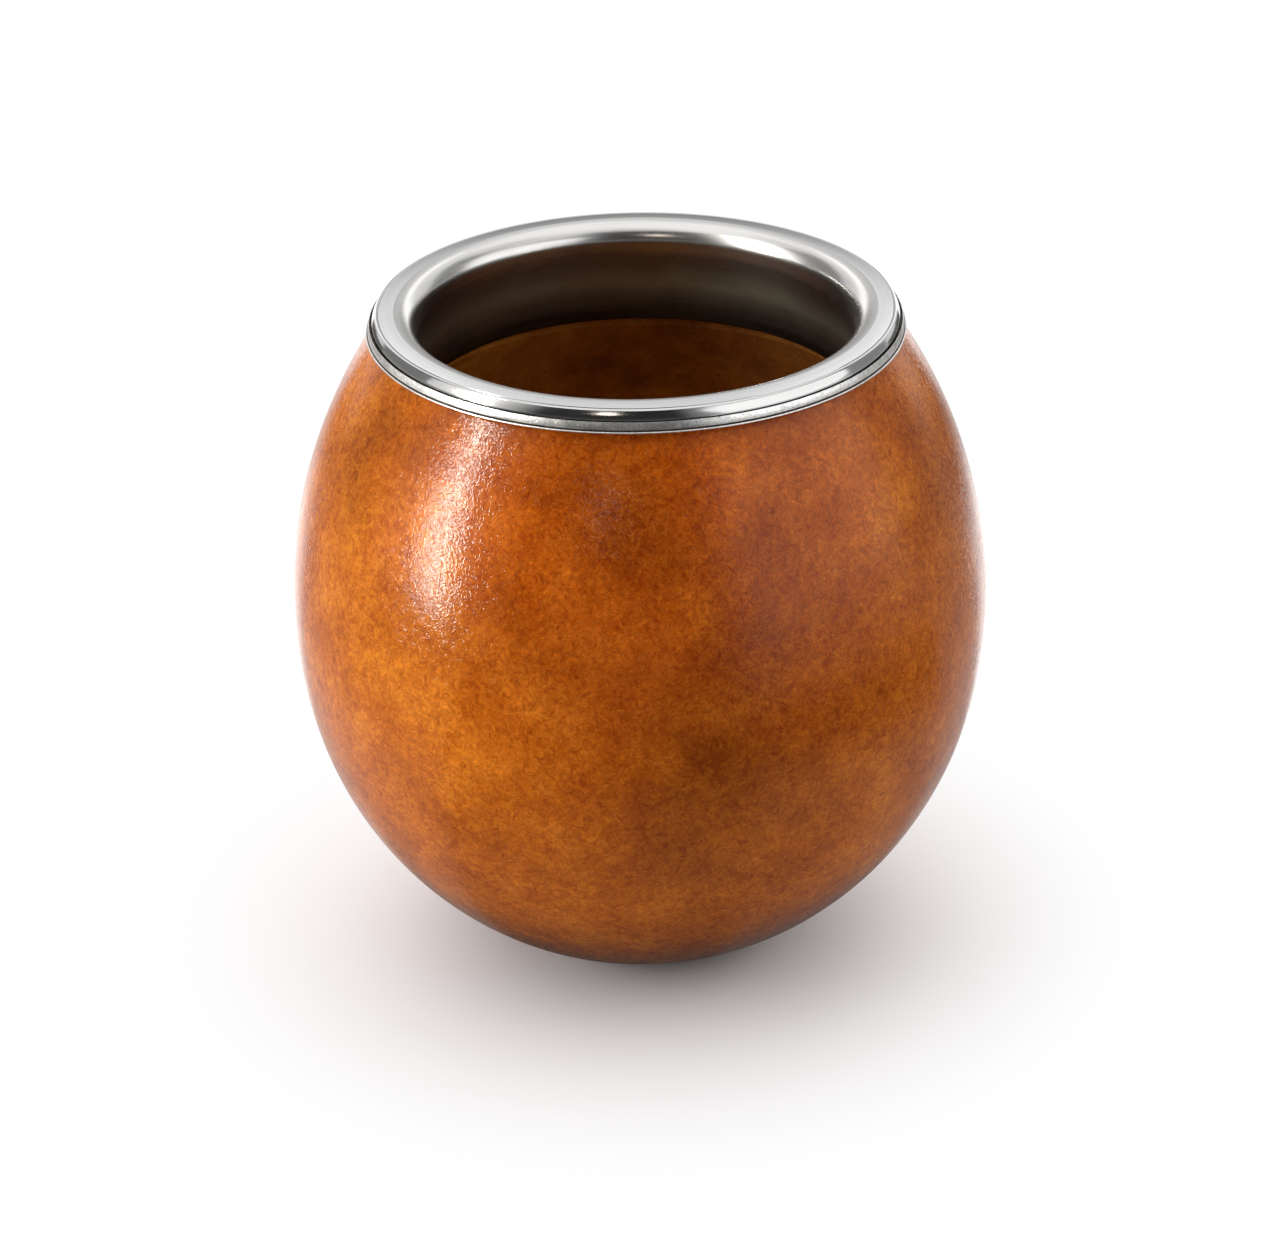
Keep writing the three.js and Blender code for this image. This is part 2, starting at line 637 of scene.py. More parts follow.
CLOUDS, FELT, CURLS, SPECKS, TURNED_LINES = Clouds(), Felt(), Curls(), Specks(), TurnedLines()


# Finishes


@dataclass(frozen=True)
class Finish:
    """A surface finish that becomes one material."""

    name: str
    tones: Stops = ()
    roughness: Point = (0.5, 0.5)
    rough_run: Point = (0.0, 1.0)
    extra_roughness: float = 0.0
    specular: float = 0.5
    metallic: float = 0.0
    grain_height: float = 0.004

    def material(self) -> bpy.types.Material:
        """The material, with a shader whose inputs the finish fills.

        Returns:
            The new material.
        """
        made = bpy.data.materials.new(self.name)
        graph = Graph.blank(made)
        shader = graph.node("ShaderNodeBsdfPrincipled", self.surface(graph))
        graph.node("ShaderNodeOutputMaterial", {"Surface": shader.outputs["BSDF"]})
        return made

    def surface(self, graph: Graph) -> dict[str, Value]:
        """What the shader's inputs hold, by their names."""
        raise NotImplementedError

    def dress(
        self, graph: Graph, colour: Socket, dullness_and_back_shade: Socket, grain: Socket, extra: Socket | None = None
    ) -> dict[str, Value]:
        """Puts a colour, a roughness and a fine relief together.

        Args:
            graph: The material's graph.
            colour: Colour of the surface.
            dullness_and_back_shade: What the roughness follows.
            grain: Height of the fine relief.
            extra: What roughens the surface further.

        Returns:
            What the shader's inputs hold.
        """
        rough = graph.spread(dullness_and_back_shade, *self.rough_run, *self.roughness)
        if extra is not None:
            rough = graph.plus(rough, graph.times(extra, self.extra_roughness))
        return {
            "Base Color": colour,
            "Metallic": self.metallic,
            "Roughness": rough,
            "Specular IOR Level": self.specular,
            "Normal": graph.bump(grain, self.grain_height),
        }


@dataclass(frozen=True)
class StainAndShade:
    """A cloud on the gourd's skin, partly stain and partly painted light and shade, that is darker than the
    rest, or lighter where its depth is below 0.
    """

    azimuth: float
    height: float
    reach: float
    depth: float


@dataclass(frozen=True)
class LacqueredSkin(Finish):
    """Outside of the gourd: stained, cloudy, fibrous and lacquered, with painted light and shade in its stain
    clouds and painted shade towards the foot.
    """

    tones: Stops = (
        (0.0, (0.195, 0.0325, 0.0010)),
        (0.35, (0.324, 0.060, 0.0018)),
        (0.65, (0.424, 0.088, 0.0035)),
        (1.0, (0.552, 0.141, 0.0100)),
    )
    roughness: Point = (0.14, 0.11)
    specular: float = 0.22
    grain_height: float = 0.054
    stains_and_shade: tuple[tuple[StainAndShade, Spot], ...] = ()
    ruddy: Spot = (0.0, 0.0, 0.0)
    ruddy_run: Point = (8.0, 48.0)
    ruddy_tints: tuple[Colour, Colour] = ((1.0, 0.85, 0.80), (1.0, 1.17, 1.15))
    ground_tone: float = 0.27
    broad_tone: float = 0.34
    small_tone: float = 0.40
    stain_and_shade_tone: float = 0.55
    stain_and_shade_darkening: float = 0.9
    ragged_size: float = 9.0
    ragged_layers: float = 3.0
    ragged_reach: float = 16.0
    painted_foot_shade_run: Point = (4.0, 24.0)
    painted_foot_shade: float = 0.35
    fuzz_run: Point = (0.2, 0.8)
    fuzz_tints: tuple[Colour, Colour] = ((0.60, 0.40, 0.40), (1.40, 1.60, 1.60))
    wrinkle_run: Point = (0.0, 0.25)
    wrinkle_shades: Point = (0.90, 1.10)
    curl: Mark = Mark(0.32, (0.62, 0.20, 0.022))
    gap: Mark = Mark(0.35, (0.16, 0.022, 0.001))
    pore: Mark = Mark(0.6, (0.075, 0.016, 0.002))
    fleck: Mark = Mark(0.6, (0.72, 0.36, 0.10))
    curl_height: float = 0.10
    pore_depth: float = 0.5

    def surface(self, graph: Graph) -> dict[str, Value]:
        """Stain and painted light and shade set the tone; fibres and pores mark it and give it its grain.

        Args:
            graph: The material's graph.

        Returns:
            What the shader's inputs hold.
        """
        small = graph.effect(CLOUDS, size=6.5, seed=11.0)
        felt = graph.effect(FELT, size=1.3, seed=2.0)
        waves = graph.effect(FELT, size=0.70, detail=0.0, seed=8.0)
        curls = graph.effect(CURLS, size=0.9, width=0.05, rarity=0.50, seed=21.0)
        gaps = graph.effect(CURLS, size=1.0, width=0.05, rarity=0.54, seed=33.0)
        pores = graph.effect(SPECKS, spacing=3.1, reach=0.075, share=0.45)
        flecks = graph.effect(SPECKS, spacing=3.7, reach=0.05, share=0.35)
        wrinkles = graph.math(Step.ABSOLUTE, graph.minus(waves, NOISE_MIDDLE))
        colour = self.dye(graph, small)
        colour = graph.tint(colour, graph.mix(graph.spread(felt, *self.fuzz_run), *self.fuzz_tints))
        colour = graph.tint(colour, graph.spread(wrinkles, *self.wrinkle_run, *self.wrinkle_shades))
        marks = ((curls, self.curl), (gaps, self.gap), (pores, self.pore), (flecks, self.fleck))
        for mask, mark in marks:
            colour = graph.mark(colour, mask, mark)
        grain = graph.plus(wrinkles, graph.times(curls, self.curl_height))
        grain = graph.minus(grain, graph.times(pores, self.pore_depth))
        return self.dress(graph, colour, small, grain)

    def dye(self, graph: Graph, small: Socket) -> Socket:
        """Colour of the skin: stain, cloudy and ruddy near the lip in front, with painted light and shade in
        the stain clouds and painted shade towards the foot.

        Args:
            graph: The material's graph.
            small: The small clouds.

        Returns:
            The colour.
        """
        broad = graph.effect(CLOUDS, size=26.0, seed=3.0)
        stains_and_shade = self.stain_and_shade_depth(graph)
        tone = graph.plus(graph.times(broad, self.broad_tone), graph.times(small, self.small_tone))
        tone = graph.minus(graph.plus(tone, self.ground_tone), graph.times(stains_and_shade, self.stain_and_shade_tone))
        # The clouds darken the colour as stain and as painted shade, and lighten it as painted light where
        # their depth is below 0.
        shade = graph.minus(1.0, graph.times(stains_and_shade, self.stain_and_shade_darkening))
        colour = graph.tint(graph.ramp(tone, self.tones), shade)
        apart = graph.vector(Step.DISTANCE, graph.place(), by=self.ruddy)
        amber = graph.spread(apart, *(end * MM for end in self.ruddy_run))
        colour = graph.tint(colour, graph.mix(amber, *self.ruddy_tints))
        # Painted shade: the skin darkens towards the foot.
        low, high = (end * MM for end in self.painted_foot_shade_run)
        return graph.tint(colour, graph.spread(graph.along(Axis.Z), low, high, self.painted_foot_shade, 1.0))

    def stain_and_shade_depth(self, graph: Graph) -> Socket:
        """How much the clouds of stain and painted light and shade darken the tone.

        Args:
            graph: The material's graph.

        Returns:
            The sum of the clouds' depths, each fading out from its middle with a ragged edge.
        """
        place = graph.place()
        inputs = {"Vector": place, "Scale": 1.0 / (self.ragged_size * MM), "Detail": self.ragged_layers}
        ragged = graph.node("ShaderNodeTexNoise", inputs).outputs["Color"]
        shift = graph.vector(Step.SUBTRACT, ragged, by=(NOISE_MIDDLE,) * 3)
        shift = graph.vector(Step.SCALE, shift, scale=self.ragged_reach * MM)
        moved = graph.vector(Step.ADD, place, by=shift)
        total: Value = 0.0
        for stain, middle in self.stains_and_shade:
            apart = graph.vector(Step.DISTANCE, moved, by=middle)
            total = graph.plus(total, graph.spread(apart, 0.0, stain.reach * MM, stain.depth, 0.0))
        return total


@dataclass(frozen=True)
class RawHollow(Finish):
    """Inside of the gourd: scraped, cured dark by the brew, matt."""

    tones: Stops = ((0.0, (0.210, 0.062, 0.002)), (0.5, (0.410, 0.140, 0.007)), (1.0, (0.580, 0.235, 0.020)))
    roughness: Point = (0.82, 0.66)
    specular: float = 0.25
    grain_height: float = 0.10
    broad_tone: float = 0.6
    small_tone: float = 0.4
    fibre: Mark = Mark(0.3, (0.50, 0.22, 0.04))
    pore: Mark = Mark(0.6, (0.06, 0.018, 0.002))
    fibre_height: float = 0.5

    def surface(self, graph: Graph) -> dict[str, Value]:
        """Blotches of two browns over a fibrous scraped ground.

        Args:
            graph: The material's graph.

        Returns:
            What the shader's inputs hold.
        """
        broad = graph.effect(CLOUDS, size=13.0, seed=31.0)
        small = graph.effect(CLOUDS, size=3.2, seed=37.0)
        fibres = graph.effect(CURLS, size=2.2, width=0.07, rarity=0.5, seed=41.0)
        pores = graph.effect(SPECKS, spacing=2.6, reach=0.2, share=0.5)
        tone = graph.plus(graph.times(broad, self.broad_tone), graph.times(small, self.small_tone))
        colour = graph.mark(graph.ramp(tone, self.tones), fibres, self.fibre)
        grain = graph.plus(small, graph.times(fibres, self.fibre_height))
        return self.dress(graph, graph.mark(colour, pores, self.pore), small, grain)


@dataclass(frozen=True)
class SandedFoot(Finish):
    """Foot of the gourd, sanded through the stain to the pale rind."""

    tones: Stops = ((0.0, (0.22, 0.075, 0.014)), (0.5, (0.38, 0.19, 0.065)), (1.0, (0.47, 0.28, 0.12)))
    roughness: Point = (0.6, 0.78)
    grain_height: float = 0.05
    fibre: Mark = Mark(0.4, (0.30, 0.15, 0.05))
    pore: Mark = Mark(0.7, (0.10, 0.04, 0.012))

    def surface(self, graph: Graph) -> dict[str, Value]:
        """Pale rind with darker pores and fibres, and stain left in patches.

        Args:
            graph: The material's graph.

        Returns:
            What the shader's inputs hold.
        """
        patches = graph.effect(CLOUDS, size=7.0, seed=53.0)
        fibres = graph.effect(CURLS, size=1.1, width=0.08, rarity=0.45, seed=59.0)
        pores = graph.effect(SPECKS, spacing=1.3, reach=0.25, share=0.6)
        colour = graph.mark(graph.ramp(patches, self.tones), fibres, self.fibre)
        return self.dress(graph, graph.mark(colour, pores, self.pore), patches, graph.minus(fibres, pores))


@dataclass(frozen=True)
class SatinSteel(Finish):
    """Flat of the flange: fine brushing round the axis, with painted reflection that brightens both sides and
    painted shade that darkens the back.
    """

    tones: Stops = ((0.2, (0.74, 0.74, 0.74)), (0.8, (0.84, 0.84, 0.84)))
    roughness: Point = (0.15, 0.21)
    rough_run: Point = (0.2, 0.8)
    extra_roughness: float = 0.06
    metallic: float = 1.0
    radius: float = 0.0
    painted_side_gleam_run: Point = (0.2, 0.9)
    painted_side_gleams: Point = (0.87, 1.14)
    painted_back_shade_run: Point = (0.0, 0.9)
    painted_back_shades: Point = (1.0, 0.62)

    def surface(self, graph: Graph) -> dict[str, Value]:
        """Lines round the axis over faint clouding, with painted reflection brightening both sides and
        painted shade darkening the back.

        Args:
            graph: The material's graph.

        Returns:
            What the shader's inputs hold.
        """
        lines = graph.effect(TURNED_LINES, pitch=0.16, waver=2.0, seed=1.0)
        haze = graph.effect(CLOUDS, size=9.0, seed=61.0)
        reach = self.radius * MM
        across, back = graph.math(Step.ABSOLUTE, graph.along(Axis.X)), graph.along(Axis.Y)
        # Painted reflection brightens the flange towards both sides, and painted shade darkens it towards the
        # back.
        wear_and_side_gleam = graph.spread(across, *(share * reach for share in self.painted_side_gleam_run), *self.painted_side_gleams)
        dullness_and_back_shade = graph.spread(back, *(share * reach for share in self.painted_back_shade_run), *self.painted_back_shades)
        colour = graph.tint(graph.tint(graph.ramp(lines, self.tones), wear_and_side_gleam), dullness_and_back_shade)
        return self.dress(graph, colour, lines, lines, haze)


@dataclass(frozen=True)
class PolishedSteel(Finish):
    """Hem of the collar: polished, with wheel marks."""

    tones: Stops = ((0.2, (0.54, 0.535, 0.53)), (0.8, (0.63, 0.625, 0.62)))
    roughness: Point = (0.08, 0.11)
    rough_run: Point = (0.3, 0.7)
    extra_roughness: float = 0.05
    metallic: float = 1.0
    grain_height: float = 0.003

    def surface(self, graph: Graph) -> dict[str, Value]:
        """Wheel marks round the axis break up a clear reflection.

        Args:
            graph: The material's graph.

        Returns:
            What the shader's inputs hold.
        """
        lines = graph.effect(TURNED_LINES, pitch=0.7, waver=1.2, seed=4.0)
        haze = graph.effect(CLOUDS, size=6.0, seed=67.0)
        return self.dress(graph, graph.ramp(lines, self.tones), lines, lines, haze)


@dataclass(frozen=True)
class ShadedSleeveSteel(Finish):
    """Bend and sleeve of the collar: polished at the top and rougher further down, with painted shade that
    darkens it further down into the mouth.
    """

    # The darker stops lower down are painted shade deeper in the mouth.
    tones: Stops = (
        (0.0, (0.63, 0.62, 0.61)),
        (0.08, (0.52, 0.51, 0.50)),
        (0.20, (0.25, 0.24, 0.23)),
        (0.32, (0.21, 0.21, 0.185)),
        (0.60, (0.31, 0.315, 0.26)),
        (1.0, (0.045, 0.040, 0.036)),
    )
    roughness: Point = (0.21, 0.36)
    rough_run: Point = (0.0, 0.7)
    extra_roughness: float = 0.05
    metallic: float = 1.0
    bright_height: float = 0.0
    dark_rough_height: float = 0.0
    haze_rise: float = 0.8
    streak_tone: float = 0.22

    def surface(self, graph: Graph) -> dict[str, Value]:
        """Wheel marks round the axis over painted shade that deepens towards the lower edge.

        Args:
            graph: The material's graph.

        Returns:
            What the shader's inputs hold.
        """
        lines = graph.effect(TURNED_LINES, pitch=0.8, waver=1.6, seed=4.0)
        haze = graph.effect(CLOUDS, size=7.0, seed=67.0)
        height = graph.plus(graph.along(Axis.Z), graph.times(haze, self.haze_rise * MM))
        # Depth into the mouth: it darkens the colour as painted shade and raises the roughness.
        depth_into_mouth = graph.spread(height, self.dark_rough_height * MM, self.bright_height * MM, 1.0, 0.0)
        streaks = graph.times(graph.minus(lines, NOISE_MIDDLE), self.streak_tone)
        return self.dress(graph, graph.ramp(graph.plus(depth_into_mouth, streaks), self.tones), depth_into_mouth, lines, lines)


@dataclass(frozen=True)
class PittedSteel(Finish):
    """Outer band: polished over a lightly pitted cast skin."""

    tones: Stops = ((0.2, (0.84, 0.83, 0.82)), (0.8, (0.94, 0.93, 0.92)))
    roughness: Point = (0.30, 0.40)
    extra_roughness: float = 0.25
    metallic: float = 1.0
    grain_height: float = 0.02
    wear_run: Point = (0.1, 0.9)
    wear_shares: Point = (0.35, 1.0)
    speckle_run: Point = (0.3, 0.7)
    speckle_shades: Point = (0.60, 1.14)
    pit: Mark = Mark(0.7, (0.20, 0.19, 0.18))
    line_height: float = 0.2

    def surface(self, graph: Graph) -> dict[str, Value]:
        """Pits and scuffs darken and roughen a bright ground.

        Args:
            graph: The material's graph.

        Returns:
            What the shader's inputs hold.
        """
        lines = graph.effect(TURNED_LINES, pitch=0.35, waver=2.5, seed=9.0)
        pits = graph.effect(SPECKS, spacing=0.55, reach=0.34, share=0.45)
        haze = graph.effect(CLOUDS, size=2.5, seed=71.0)
        speckle = graph.effect(FELT, size=0.42, seed=14.0)
        wear_and_side_gleam = graph.times(pits, graph.spread(haze, *self.wear_run, *self.wear_shares))
        shade = graph.spread(speckle, *self.speckle_run, *self.speckle_shades)
        colour = graph.mark(graph.tint(graph.ramp(lines, self.tones), shade), wear_and_side_gleam, self.pit)
        grain = graph.minus(graph.times(lines, self.line_height), wear_and_side_gleam)
        return self.dress(graph, colour, haze, grain, wear_and_side_gleam)


@dataclass(frozen=True)
class ResinAndSlotShade(Finish):
    """Setting resin, filled with gourd dust; the same dark finish is put in the band's slot and above its
    bead as painted shade.
    """

    tones: Stops = ((0.0, (0.028, 0.015, 0.007)), (1.0, (0.065, 0.038, 0.018)))
    roughness: Point = (0.5, 0.62)
    grain_height: float = 0.05

    def surface(self, graph: Graph) -> dict[str, Value]:
        """Dark and cloudy, with small bubbles.

        Args:
            graph: The material's graph.

        Returns:
            What the shader's inputs hold.
        """
        cloud = graph.effect(CLOUDS, size=4.0, seed=79.0)
        bubbles = graph.effect(SPECKS, spacing=0.9, reach=0.3, share=0.3)
        return self.dress(graph, graph.ramp(cloud, self.tones), cloud, graph.times(bubbles, -1.0))


# The cup


class GourdFace(IntEnum):
    """Which finish a stretch of the gourd takes."""

    SKIN = 0
    HOLLOW = 1
    FOOT = 2


class BandFace(IntEnum):
    """Which finish a stretch of the outer band takes."""

    STEEL = 0
    # The slot and the groove above the bead: painted shade in the dark resin finish.
    SHADED_SLOT = 1


class CollarFace(IntEnum):
    """Which finish a stretch of the mouth collar takes."""

    SATIN = 0
    POLISHED = 1
    # Bend and sleeve, with painted shade deeper in the mouth.
    SHADED_SLEEVE = 2


@dataclass(frozen=True)
class Swell:
    """One slow wave of the gourd's grown shape."""

    around: int
    length: float
    phase: float


@dataclass
class GourdBody:
    """The hollow gourd: egg-shaped skin, cut lip, bore, hollow and sanded foot."""

    half_length: float = 51.5
    skew: float = 0.065
    foot_cut: float = 2.0
    foot_edge: float = 0.25
    mouth_wall: float = 2.6
    bore_run: float = 1.5
    belly_wall: float = 7.0
    floor: float = 8.0
    scar_radius: float = 4.5
    scar_depth: float = 0.8
    unevenness: float = 0.16
    even_run: float = 12.0
    skin_steps: int = 110
    hollow_steps: int = 36
    scar_steps: int = 12
    swells: tuple[Swell, ...] = (
        Swell(2, 70.0, 0.4), Swell(3, 46.0, 2.1), Swell(5, 31.0, 4.4), Swell(7, 23.0, 1.3)
    )
    # Clouds on the skin, partly its own stain and partly painted light and shade: a depth above 0 darkens,
    # below 0 lightens.
    stains_and_shade: tuple[StainAndShade, ...] = (
        StainAndShade(-1.0, 75.0, 14.0, 0.40), StainAndShade(-18.0, 72.0, 16.0, -0.16), StainAndShade(-40.0, 71.0, 16.0, -0.31),
        StainAndShade(-62.0, 74.0, 15.0, 0.34), StainAndShade(-10.0, 60.0, 16.0, 0.05), StainAndShade(-26.0, 50.0, 20.0, -0.07),
        StainAndShade(10.0, 60.0, 15.0, -0.01), StainAndShade(0.0, 52.0, 14.0, -0.06), StainAndShade(12.0, 43.0, 20.0, 0.22),
        StainAndShade(10.0, 78.0, 14.0, -0.45), StainAndShade(-16.0, 38.0, 18.0, -0.08), StainAndShade(-44.0, 40.0, 22.0, -0.12),
        StainAndShade(38.0, 75.0, 18.0, -0.28), StainAndShade(25.0, 74.0, 12.0, 0.12), StainAndShade(48.0, 54.0, 16.0, -0.14),
        StainAndShade(68.0, 66.0, 20.0, 0.16), StainAndShade(30.0, 26.0, 20.0, -0.05), StainAndShade(4.0, 30.0, 14.0, 0.07),
        StainAndShade(0.0, 66.0, 12.0, -0.13), StainAndShade(-24.0, 58.0, 11.0, 0.07), StainAndShade(16.0, 57.0, 10.0, 0.13),
        StainAndShade(8.0, 45.0, 10.0, 0.13), StainAndShade(-8.0, 55.0, 9.0, 0.10),
    )
    ruddy_azimuth: float = 2.0
    ruddy_height: float = 72.0
    radius: float = field(init=False)
    lip: float = field(init=False)

    def __post_init__(self) -> None:
        """Takes the belly's radius and the lip's height from the frame."""
        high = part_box("gourd_shell")[1]
        self.radius, self.lip = high.x / MM, high.z / MM

    @property
    def middle(self) -> float:
        """Height of the whole fruit's middle."""
        return self.half_length - self.foot_cut

    @property
    def widest(self) -> float:
        """Height of the belly's widest part, as a share of half the fruit's length from its middle."""
        return -2 * self.skew / (1 + math.sqrt(1 + 8 * self.skew**2))

    def egg(self, share: float) -> float:
        """Egg-shaped outline from -1 at the blossom end to 1 at the stem end."""
        return math.sqrt(1 - share * share) * (1 - self.skew * share)

    def radius_at(self, height: float) -> float:
        """Radius of the skin at a height above the foot."""
        return self.radius * self.egg((height - self.middle) / self.half_length) / self.egg(self.widest)

    @property
    def bore(self) -> float:
        """Radius of the straight bore that takes the collar."""
        return self.radius_at(self.lip) - self.mouth_wall

    def on_skin(self, azimuth: float, height: float) -> Spot:
        """The point of the skin at an azimuth and a height, in metres."""
        level = direction(azimuth) * self.radius_at(height)
        return tuple((level + Vector((0.0, 0.0, height))) * MM)

    def relief(self, around: np.ndarray, height: float) -> np.ndarray:
        """Makes the grown shape a little uneven, only inwards, fading out at the lip and the foot.

        Args:
            around: Angles about the axis.
            height: Height above the foot.

        Returns:
            How far each point moves out.
        """
        waves = sum(
            np.sin(swell.around * around + swell.phase + height * math.tau / swell.length)
            for swell in self.swells
        )
        dips = (waves / len(self.swells) - 1) / 2
        fade = np.clip(min(height, self.lip - height) / self.even_run, 0.0, 1.0)
        return self.unevenness * dips * fade * fade * (3 - 2 * fade)

    def outline(self) -> list[Stretch]:
        """The section from the scar round the skin, lip and hollow back to the axis.

        Returns:
            Its stretches.
        """
        foot, low = self.radius_at(0.0), self.foot_edge
        start = math.asin((low - self.middle) / self.half_length)
        end = math.asin((self.lip - self.middle) / self.half_length)
        turns = np.linspace(start, end, self.skin_steps + 1)
        heights = [float(h) for h in self.middle + self.half_length * np.sin(turns)]
        heights[-1] = self.lip
        skin = [(self.radius_at(height), height) for height in heights]
        bore_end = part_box("mouth_collar")[0].z / MM - self.bore_run
        belly = self.radius - self.belly_wall
        equator = self.middle + self.half_length * self.widest
        dish = (self.scar_radius / 2, self.scar_depth)
        scar = bend((0.0, self.scar_depth), dish, (self.scar_radius, 0.0), self.scar_steps)
        swing = (belly, (bore_end + equator) / 2)
        flare = bend((self.bore, bore_end), swing, (belly, equator), self.hollow_steps)
        bowl = arc((0.0, equator), belly, equator - self.floor, 0.0, -90.0, self.hollow_steps)
        bowl[-1] = (0.0, self.floor)
        return [
            Stretch([*scar, (foot - low, 0.0), skin[0]], GourdFace.FOOT),
            Stretch(skin, GourdFace.SKIN),
            Stretch([(self.bore, self.lip), *flare, *bowl], GourdFace.HOLLOW),
        ]

    def build(self, lathe: Lathe) -> bpy.types.Object:
        """Turns the gourd and stands it for its solid.

        Args:
            lathe: What turns it.

        Returns:
            The piece.
        """
        stains_and_shade = tuple((stain, self.on_skin(stain.azimuth, stain.height)) for stain in self.stains_and_shade)
        ruddy = self.on_skin(self.ruddy_azimuth, self.ruddy_height)
        skin = LacqueredSkin("lacquered_gourd_skin", stains_and_shade=stains_and_shade, ruddy=ruddy)
        finishes = (skin, RawHollow("raw_gourd_hollow"), SandedFoot("sanded_gourd_foot"))
        piece = lathe.turn("gourd_body", self.outline(), finishes, self.relief)
        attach(piece, BODY)
        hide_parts("gourd_shell")
        return piece


@dataclass
class SteelRim:
    """The two steel rings on the lip: the spun mouth collar and the outer band under it."""

    gourd: GourdBody
    bend_radius: float = 2.6
    hem_gap: float = 0.5
    crown: float = 0.12
    crease_setback: float = 1.04
    crease_wall: float = 0.06
    crease_depth: float = 0.09
    lip_setback: float = 0.84
    lip_fullness: float = 2 / 3
    shoulder_setback: float = 0.48
    shoulder_drop: float = 0.25
    hem_belly: float = 0.15
    foot_setback: float = 0.12
    foot_dip: float = 0.12
    foot_round: float = 0.06
    band_setback: float = 0.35
    band_corner: float = 0.02
    band_lean: float = 0.18
    slot_wall: float = 0.04
    slot_width: float = 0.42
    slot_depth: float = 0.42
    bead: float = 0.11
    bead_end: float = 100.0
    bead_groove: float = 0.17
    bed: float = 1.1
    edge_round: float = 0.2
    steps: int = 16
    face_steps: int = 10
    wall_steps: int = 8
    corner_steps: int = 6
    edge_steps: int = 4
    flange_radius: float = field(init=False)
    flange_top: float = field(init=False)
    sleeve_bottom: float = field(init=False)
    band_radius: float = field(init=False)
    band_bottom: float = field(init=False)
    ledge_top: float = field(init=False)

    def __post_init__(self) -> None:
        """Takes the rings' outer sizes from the frame."""
        low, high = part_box("mouth_collar")
        self.flange_radius, self.flange_top, self.sleeve_bottom = high.x / MM, high.z / MM, low.z / MM
        low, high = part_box("outer_band")
        self.band_radius, self.ledge_top, self.band_bottom = high.x / MM, high.z / MM, low.z / MM

    @property
    def sheet(self) -> float:
        """Thickness of the steel sheet."""
        return self.ledge_top - self.gourd.lip

    @property
    def sleeve_outer(self) -> float:
        """Outer radius of the sleeve."""
        return self.gourd.bore - self.bed

    @property
    def skirt_outer(self) -> float:
        """Outer radius of the band's skirt."""
        return self.flange_radius + self.band_setback

    @property
    def bend_centre(self) -> Point:
        """Radius and height of the middle of the bend between flange and sleeve."""
        return self.sleeve_outer - self.sheet + self.bend_radius, self.flange_top - self.bend_radius

    def collar_outline(self) -> list[Stretch]:
        """Section of the collar: up the sleeve's back, under the flange, up the hem and back down.

        Returns:
            Its stretches.
        """
        sheet, centre, steps, few = self.sheet, self.bend_centre, self.steps, self.edge_steps
        inner, round_, foot_round = self.sleeve_outer - sheet, self.edge_round, self.foot_round
        edge, edge_top = self.flange_radius, self.flange_top - self.crown
        foot = (edge - self.foot_setback, self.ledge_top - self.foot_dip + foot_round)
        shoulder = (edge - self.shoulder_setback, edge_top - self.shoulder_drop)
        belly = ((foot[0] + shoulder[0]) / 2 + self.hem_belly, (foot[1] + shoulder[1]) / 2)
        lip = (edge - self.lip_setback, edge_top)
        crease = (edge - self.crease_setback, edge_top)
        crease_bottom = (crease[0] + self.crease_wall, edge_top - self.crease_depth)
        hem_inner, under = centre[0] + self.hem_gap, self.bend_radius - sheet
        toe_height = self.sleeve_bottom + round_
        toe = arc((inner + round_, toe_height), round_, round_, 180.0, 270.0, few)
        heel = arc((self.sleeve_outer - round_, toe_height), round_, round_, -90.0, 0.0, few)
        underside = arc(centre, under, under, 180.0, 90.0, steps)
        seat = (hem_inner, self.flange_top - sheet - self.crown)
        ledge = (self.skirt_outer - self.band_lean - self.slot_wall - self.slot_width, self.ledge_top)
        toe_in = arc((foot[0] - foot_round, foot[1]), foot_round, foot_round, -90.0, 0.0, few)
        hem = bend(foot, belly, shoulder, self.face_steps)
        corner = (lip[0] + (shoulder[0] - lip[0]) * self.lip_fullness, edge_top)
        drop = bend(lip, (crease_bottom[0], edge_top), crease_bottom, self.corner_steps)
        flat_end = (centre[0], self.flange_top)
        flat = bend(crease, ((crease[0] + centre[0]) / 2, self.flange_top), flat_end, self.face_steps)
        turn = arc(centre, self.bend_radius, self.bend_radius, 90.0, 180.0, 2 * steps)
        return [
            Stretch([*toe, *heel, *underside, seat, (hem_inner, self.ledge_top), ledge], CollarFace.SHADED_SLEEVE),
            Stretch([*toe_in, *hem[1:], *bend(shoulder, corner, lip, steps), *drop], CollarFace.POLISHED),
            Stretch(flat, CollarFace.SATIN),
            Stretch([*turn, toe[0]], CollarFace.SHADED_SLEEVE),
        ]

